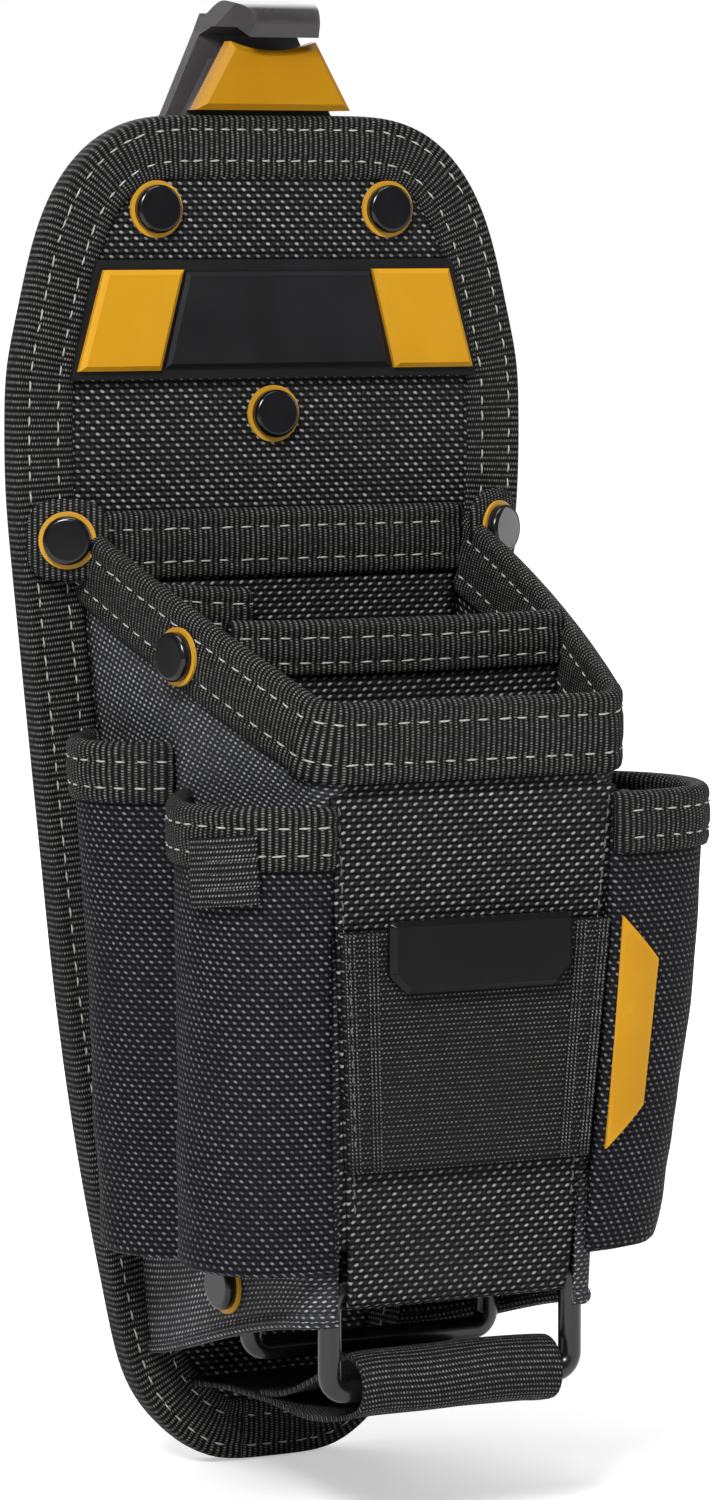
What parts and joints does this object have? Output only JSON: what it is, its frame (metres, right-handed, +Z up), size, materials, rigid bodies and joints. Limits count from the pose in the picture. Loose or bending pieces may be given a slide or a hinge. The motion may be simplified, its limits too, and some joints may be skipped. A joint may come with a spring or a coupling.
{
  "type": "electrician tool pouch",
  "caption": "Upright belt-clip tool pouch: padded bound back panel, open box with divider, four side pockets, front webbing panel, hanging rings and a strap loop.",
  "frame": {"origin": "centre of the belt slot, between the rear bracket and the belt clip's tongue", "axes": "+X to the viewer's right and along the belt, -Y to the front of the pouch, +Z up as worn"},
  "size_m": [0.1417, 0.1259, 0.3423],
  "materials": {
    "binding_tape": "ribbed woven tape",
    "ballistic_nylon": "coarse woven nylon",
    "coarse_ballistic_nylon": "coarse woven nylon",
    "grey_nylon": "coarse woven nylon, charcoal grey",
    "backing_fabric": "air mesh",
    "webbing": "ribbed webbing",
    "foam": "closed cell foam",
    "board": "flat sheet",
    "charcoal_plastic": "soft moulded",
    "clip_plastic": "satin moulded",
    "yellow_plastic": "satin moulded",
    "amber_plastic": "satin moulded",
    "rivet_black": "gloss black domed",
    "ring_steel": "black coated wire",
    "pin_steel": "ground",
    "spring_steel": "drawn wire"
  },
  "bodies": {
    "pouch": {"badge_inserts": "yellow_plastic", "badge_plate": "charcoal_plastic", "bottom_strap": "webbing", "divider": "ballistic_nylon", "divider_binding": "binding_tape", "floor_panel": "grey_nylon", "front_band": "coarse_ballistic_nylon", "front_clip_plate": "charcoal_plastic", "front_wall": "ballistic_nylon", "front_webbing_panel": "webbing", "hinge_pin": "pin_steel", "inner_pocket": "ballistic_nylon", "inner_pocket_binding": "binding_tape", "left_front_pocket": "ballistic_nylon", "left_front_pocket_binding": "binding_tape", "left_rear_pocket": "ballistic_nylon", "left_rear_pocket_binding": "binding_tape", "left_side_wall": "grey_nylon", "mouth_binding": "binding_tape", "panel_binding": "binding_tape", "panel_foam_pad": "foam", "panel_front_fabric": "ballistic_nylon", "panel_rear_fabric": "backing_fabric", "panel_rivet_backs": "rivet_black", "panel_rivet_caps": "rivet_black", "panel_rivet_rings": "yellow_plastic", "panel_stiffener_board": "board", "pocket_webbing_tag": "webbing", "rear_bracket": "clip_plastic", "rear_lining": "ballistic_nylon", "rear_lining_binding": "binding_tape", "rear_ring_loop": "webbing", "right_front_pocket": "ballistic_nylon", "right_front_pocket_binding": "binding_tape", "right_rear_pocket": "ballistic_nylon", "right_rear_pocket_binding": "binding_tape", "right_side_wall": "grey_nylon", "side_rivet_caps": "rivet_black", "side_rivet_rings": "yellow_plastic", "side_tag": "yellow_plastic", "thumb_block": "amber_plastic", "torsion_spring": "spring_steel"},
    "clip": {"clip_lever": "clip_plastic"},
    "front_ring": {"front_ring": "ring_steel"},
    "rear_ring": {"rear_ring": "ring_steel"}
  },
  "joints": [
    {"name": "clip_squeeze", "type": "hinge", "parent": "pouch", "child": "clip", "pos_m": [0, 0.002, 0.041], "axis": [1, 0, 0], "range_deg": [0, 5], "stiffness_Nm_per_rad": 0.6, "springref_deg": -8.59},
    {"name": "front_ring_swing", "type": "hinge", "parent": "pouch", "child": "front_ring", "pos_m": [0, -0.1025, -0.2065], "axis": [1, 0, 0], "range_deg": [-8, 20], "deforming": ["bottom_strap"]},
    {"name": "rear_ring_swing", "type": "hinge", "parent": "pouch", "child": "rear_ring", "pos_m": [0, -0.0635, -0.2035], "axis": [1, 0, 0], "range_deg": [-55, 55]}
  ]
}
